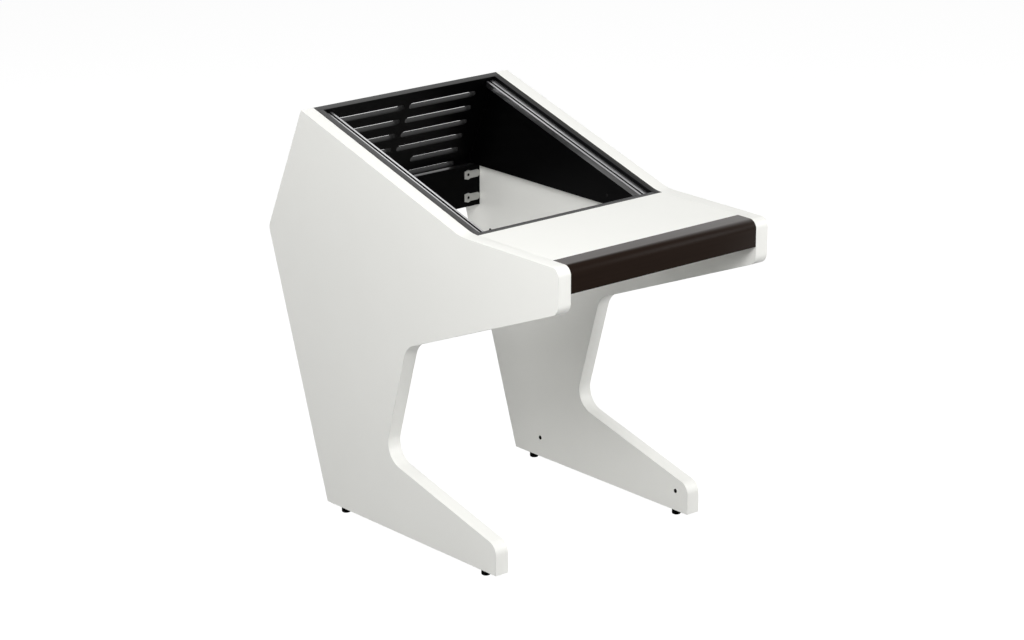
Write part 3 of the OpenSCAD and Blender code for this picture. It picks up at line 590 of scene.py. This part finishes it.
# Cross board plates and screws
# Four plates of dull plated steel let into the side panels hold the cross board, each with one
# black countersunk screw. Eight more screws of the same kind hold the bay's side boards.
PLATE_T, PLATE_HOLE, PLATE_PITCH = 2 * MM, 36 * MM, 55.6 * MM
PLATE_EASE, PLATE_ROOM, NOT_ZERO = 0.15 * MM, 0.1 * MM, 1e-9
SCREW_BITE, RECESS_HALF, RECESS_REACH, RECESS_DEPTH = 14 * MM, 0.45 * MM, 1.9 * MM, 1.3 * MM
# the upper half of a plate's outline, from its head to its tongue's end in the side panel, as
# [distance from the side panel's face, half of the width]
plate_half = np.array([[47.5, 8.8], [37.5, 11.5], [35, 11.5], [30, 8.9],
                       [7.6, 8.9], [0, 4.2], [-8, 4.2]]) * MM
plate_loop = np.concatenate([plate_half, (plate_half * [1, -1])[::-1]])


def turned(rows, count=48):
    """A solid turned about its own Z axis. Each row is [radius, height, cross]: at angle t the
    surface stands at the radius, or where cross is 1 at the edge of a cross of two bars, whose
    distance is the larger of min(reach / |cos t|, half / |sin t|) and the same with cos and sin
    exchanged. The first and last rows are the poles."""
    t = np.linspace(0, 2 * math.pi, count, endpoint=False)
    c, s = np.abs(np.cos(t)) + NOT_ZERO, np.abs(np.sin(t)) + NOT_ZERO
    cross = np.maximum(np.minimum(RECESS_REACH / c, RECESS_HALF / s),
                       np.minimum(RECESS_REACH / s, RECESS_HALF / c))
    rows = np.asarray(rows, float)
    r = np.where(rows[1:-1, 2:] > 0, cross * rows[1:-1, 2:], rows[1:-1, :1])
    z = np.broadcast_to(rows[1:-1, 1:2], r.shape)
    ring = np.stack([r * np.cos(t), r * np.sin(t), z], axis=2)
    points = np.concatenate([[[0, 0, rows[0, 1]]], ring.reshape(-1, 3), [[0, 0, rows[-1, 1]]]])
    return points, wrapped(len(rows) - 2, count)


def wrapped(rings, count):
    """The faces between closed rings of count points, with a fan at each pole: the lower pole is
    point 0 and the upper one the last point."""
    j = np.arange(count)
    k = (j + 1) % count
    start = 1 + count * np.arange(rings - 1)[:, None]
    quads = np.stack([start + j, start + k, start + count + k, start + count + j], axis=2)
    last = 1 + count * rings
    low = np.stack([np.zeros(count, int), 1 + k, 1 + j], axis=1)
    high = np.stack([np.full(count, last), last - count + j, last - count + k], axis=1)
    return low.tolist() + quads.reshape(-1, 4).tolist() + high.tolist()


def repeated(points, faces, places):
    """The same mesh set at each of the places."""
    every = np.concatenate([points @ place[:, :3].T + place[:, 3] for place in places])
    starts = [n * len(points) for n in range(len(places))]
    return every, [[start + i for i in face] for start in starts for face in faces]


def screw_rows(length):
    """A countersunk screw along -Z with its flat top at the origin: a pointed shank with a shallow
    thread, the head's cone with a softened rim, and a cross recess that narrows as it deepens."""
    pitch, ridge, plain, clear = 1.6 * MM, 0.35 * MM, 3 * MM, 1 * MM
    point, rim, lip, narrowed = 1.2 * MM, 0.15 * MM, 0.2 * MM, 0.6
    turns = int((length - HEAD_H - plain - clear) / pitch)
    thread = [[SCREW_R - ridge * side, -length + plain + (n + side / 2) * pitch, 0]
              for n in range(turns) for side in (1, 0)]
    return [[0, -length, 0], [SCREW_R / 2, -length + point, 0], *thread,
            [SCREW_R - ridge, -HEAD_H, 0], [HEAD_R, -rim, 0], [HEAD_R - rim, 0, 0],
            [RECESS_REACH + lip, 0, 0], [0, 0, 1], [0, -RECESS_DEPTH, narrowed],
            [0, -RECESS_DEPTH, 0]]


plate_steel = finish("dull plating", (0.42, 0.42, 0.41), (0.52, 0.52, 0.50), 120.0, (0.38, 0.5),
                     0.5, (260.0, 0.15, 0.02 * MM), metallic=0.85)
black_screw = finish("black zinc", (0.004, 0.004, 0.004), (0.009, 0.009, 0.009), 300.0,
                     (0.4, 0.55), 0.08, (500.0, 0.2, 0.02 * MM))
cross_low, cross_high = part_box("cross_board")
cross_mid = (cross_low[2] + cross_high[2]) / 2
plate_loops = [plate_loop, circle((PLATE_HOLE, 0), HEAD_R + PLATE_ROOM, SINK_POINTS)]
plate_places = []
for side, sign in (("left", -1), ("right", 1)):
    for level, lift in (("upper", 1), ("lower", -1)):
        at = np.array([sign * INNER_X, cross_low[1], cross_mid + lift * PLATE_PITCH / 2])
        plate_places.append(place_of(at - sign * PLATE_HOLE * X - PLATE_T * Y, X, Z, -Y))
        made = board(f"{side}_{level}_plate", plate_loops, 0, PLATE_T, PLATE_EASE,
                     place_of(at, -sign * X, sign * Z, -Y))
        finished(made, f"cross_plate_{side}_{level}", [plate_steel] * 4)
side_places = [place_of([sign * BAY_HALF, *(SIDE_ORIGIN + at)], sign * Y, Z, -sign * X)
               for sign in (-1, 1) for at in side_screws]
for name, node, thickness, places in (
        ("plate_screws", "cross_plate_screws", PLATE_T, plate_places),
        ("bay_side_screws", "side_board_screws", BOARD_T, side_places)):
    points, faces = repeated(*turned(screw_rows(thickness + SCREW_BITE)), places)
    finished(piece(name, points, faces), node, [black_screw])

# Glide feet
# Four black moulded feet with a round pad, each on a threaded stem that screws up into a brass
# insert in a panel's lower edge, so that the desk can be levelled.
FOOT_R, FOOT_ROUND, FOOT_GAP, FOOT_H, ROUND_POINTS = 10.3 * MM, 3 * MM, 0.3 * MM, 16 * MM, 9
STEM_R, STEM_LEN, THREAD_PITCH, THREAD_DEPTH = 4 * MM, 34 * MM, 1.25 * MM, 0.6 * MM


def foot_surface(count=32):
    """A pad and a threaded stem turned about Z, as a grid of height by angle. The stem's radius is
    the full radius less the thread's depth times |2 f - 1|, where f is what is left of height over
    pitch minus t over a turn after its whole part."""
    t = np.linspace(0, 2 * math.pi, count, endpoint=False)
    bend = np.radians(np.linspace(-90, 0, ROUND_POINTS))
    pad_top, edge, corner_cut, neck, end = FOOT_H - FOOT_GAP, 0.6 * MM, 0.2 * MM, 0.4 * MM, 1 * MM
    rise, tip_inset, points_in_pitch = 0.1 * MM, 0.9 * MM, 8
    pad = [[FOOT_R - FOOT_ROUND + FOOT_ROUND * math.cos(a), FOOT_ROUND + FOOT_ROUND * math.sin(a)]
           for a in bend]
    pad += [[FOOT_R, pad_top - edge], [FOOT_R - corner_cut, pad_top - corner_cut],
            [FOOT_R - edge, pad_top], [STEM_R + neck, pad_top], [STEM_R - THREAD_DEPTH, pad_top]]
    pad = np.array(pad)
    height = np.arange(pad_top + rise, FOOT_H + STEM_LEN - end, THREAD_PITCH / points_in_pitch)
    f = (height[:, None] / THREAD_PITCH - t / (2 * math.pi)) % 1
    stem_r = STEM_R - THREAD_DEPTH * np.abs(2 * f - 1)
    r = np.concatenate([np.repeat(pad[:, :1], count, 1), stem_r,
                        np.full((1, count), STEM_R - tip_inset)])
    z = np.concatenate([pad[:, 1], height, [FOOT_H + STEM_LEN]])
    ring = np.stack([r * np.cos(t), r * np.sin(t), np.repeat(z[:, None], count, 1)], axis=2)
    points = np.concatenate([[[0, 0, 0]], ring.reshape(-1, 3), [[0, 0, FOOT_H + STEM_LEN]]])
    return points, wrapped(len(z), count)


moulding = finish("black moulding", (0.0008, 0.0008, 0.0008), (0.0016, 0.0016, 0.0016), 200.0,
                  (0.55, 0.7), 0.01, (700.0, 0.3, 0.02 * MM))
points, faces = foot_surface()
for corner in ("left_front", "right_front", "left_rear", "right_rear"):
    node = f"foot_{corner}"
    low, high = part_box(node)
    made = piece(f"{corner}_glide",
                 points + [(low[0] + high[0]) / 2, (low[1] + high[1]) / 2, low[2]], faces)
    finished(made, node, [moulding], node)

# Hidden joints
# Beech dowels, cams with their bolts, the rails' screws, angle brackets with theirs, and brass
# inserts: plain parts whose CAD solids stay, each with the finish of its own metal or wood.
zinc = finish("zinc plating", (0.46, 0.46, 0.47), (0.60, 0.60, 0.62), 180.0, (0.28, 0.42), 0.5,
              (420.0, 0.15, 0.02 * MM), metallic=1.0)
casting = finish("die casting", (0.36, 0.36, 0.37), (0.46, 0.46, 0.47), 260.0, (0.42, 0.6), 0.5,
                 (800.0, 0.35, 0.05 * MM), metallic=0.9)
brass = finish("turned brass", (0.60, 0.44, 0.19), (0.72, 0.56, 0.28), 260.0, (0.28, 0.4), 0.5,
               (600.0, 0.15, 0.02 * MM), metallic=1.0)
beech = finish("beech", (0.55, 0.37, 0.20), (0.72, 0.53, 0.33), 40.0, (0.5, 0.65), 0.4,
               (120.0, 0.4, 0.05 * MM), stretch=(0.4, 6, 6))
metals = {"zinc_steel": zinc, "zinc_cast": casting, "beech": beech, "brass_insert": brass,
          "white_board": white[FACE], "black_board": black[FACE], "armrest_board": stained,
          "rail_aluminium": rail_metal, "black_steel": strip_metal, "plate_steel": plate_steel,
          "foot_plastic": moulding}
for node, thing in frame["nodes"].items():
    thing.data.materials.clear()
    thing.data.materials.append(metals[slot_of[node]])

# Studio
# A white floor that keeps the desk's shadow, soft lamps and the camera at the photograph's view.
scene = bpy.context.scene
scene.view_settings.view_transform = "Standard"


def aimed(place, direction):
    """The matrix of a lamp or camera at place that looks along direction, with its top up."""
    turn = Vector(direction).to_track_quat("-Z", "Y").to_matrix().to_4x4()
    return Matrix.Translation(place) @ turn


def lamp(name, place, target, size, power):
    """A square soft lamp at place that faces target."""
    data = bpy.data.lights.new(name, "AREA")
    data.size, data.energy = size, power
    made = bpy.data.objects.new(name, data)
    made.matrix_world = aimed(place, Vector(target) - Vector(place))
    scene.collection.objects.link(made)


lamp("high left lamp", (-3.5, -3.0, 4.0), (0, 0, 0.5), 2.0, 83)
lamp("rear left lamp", (-4.0, 3.0, 2.5), (0, 0, 0.5), 2.0, 29)
lamp("right lamp", (3.5, -3.5, 2.5), (0, 0, 0.5), 2.5, 202)
lamp("rear lamp", (0.0, 3.0, 3.5), (0, 0, 0.5), 3.0, 33)
lamp("near front lamp", (-1.8, -1.6, 1.8), (-0.2, -0.2, 0.6), 1.0, 28)
lamp("near left lamp", (-2.2, -0.4, 2.0), (-0.3, -0.2, 0.6), 1.2, 3)
lamp("low rear lamp", (-1.5, 3.5, 0.6), (0, 0, 0.5), 1.5, 26)
lamp("low right lamp", (3.0, -3.0, 0.6), (0, 0, 0.5), 1.5, 5)
lamp("bay lamp", (-1.0, 0.2, 2.6), (0.2, 0, 0.6), 0.8, 8)
lamp("overhead panel", (0.7, 1.0, 2.2), (0, 0, 0.6), 1.0, 4.3)


def seen_directly(tree):
    """1 for rays from the camera, from a glossy surface or through glass, and 0 for the others."""
    ways = tree.nodes.new("ShaderNodeLightPath")
    seen = ways.outputs["Is Camera Ray"]
    for ray in ("Is Glossy Ray", "Is Transmission Ray"):
        larger = tree.nodes.new("ShaderNodeMath")
        larger.operation = "MAXIMUM"
        tree.links.new(seen, larger.inputs[0])
        tree.links.new(ways.outputs[ray], larger.inputs[1])
        seen = larger.outputs[0]
    return seen


# the world is white where it is seen and gives no light of its own
world = bpy.data.worlds.new("studio")
scene.world = world
world.use_nodes = True
background = world.node_tree.nodes["Background"]
background.inputs["Color"].default_value = (1, 1, 1, 1)
world.node_tree.links.new(seen_directly(world.node_tree), background.inputs["Strength"])


def studio_floor():
    """White to the camera and in reflections, with the desk's soft shadow; a duller white for the
    light that it sends back up."""
    material = bpy.data.materials.new("studio floor")
    material.use_nodes = True
    tree = material.node_tree
    tree.nodes.remove(tree.nodes["Principled BSDF"])
    sent_up = tree.nodes.new("ShaderNodeBsdfDiffuse")
    sent_up.inputs["Color"].default_value = (0.35, 0.35, 0.35, 1)
    lit = tree.nodes.new("ShaderNodeBsdfDiffuse")
    lit.inputs["Color"].default_value = (0.2, 0.2, 0.2, 1)
    glow = tree.nodes.new("ShaderNodeEmission")
    glow.inputs["Strength"].default_value = 0.95
    both = tree.nodes.new("ShaderNodeAddShader")
    tree.links.new(lit.outputs[0], both.inputs[0])
    tree.links.new(glow.outputs[0], both.inputs[1])
    mix = tree.nodes.new("ShaderNodeMixShader")
    tree.links.new(seen_directly(tree), mix.inputs["Fac"])
    tree.links.new(sent_up.outputs[0], mix.inputs[1])
    tree.links.new(both.outputs[0], mix.inputs[2])
    tree.links.new(mix.outputs[0], tree.nodes["Material Output"].inputs["Surface"])
    return material


HALF_FLOOR, FLOOR_Z = 25.0, -0.0003
corners = rectangle((-HALF_FLOOR, -HALF_FLOOR), (HALF_FLOOR, HALF_FLOOR))
floor = piece("floor", np.c_[corners, np.full(4, FLOOR_Z)], [[0, 1, 2, 3]], False)
floor.data.materials.append(studio_floor())

CAMERA_AT = Vector((-4.4771, -5.2381, 2.6638))
CAMERA_LOOK, CAMERA_ROLL = Vector((0.61887, 0.72400, -0.30467)), math.radians(0.09)
LENS_LENGTH, SENSOR_WIDTH = 114.05, 36.0
camera = bpy.data.objects.new("camera", bpy.data.cameras.new("camera"))
camera.data.lens, camera.data.sensor_width = LENS_LENGTH, SENSOR_WIDTH
camera.matrix_world = aimed(CAMERA_AT, CAMERA_LOOK) @ Matrix.Rotation(CAMERA_ROLL, 4, "Z")
scene.collection.objects.link(camera)
scene.camera = camera
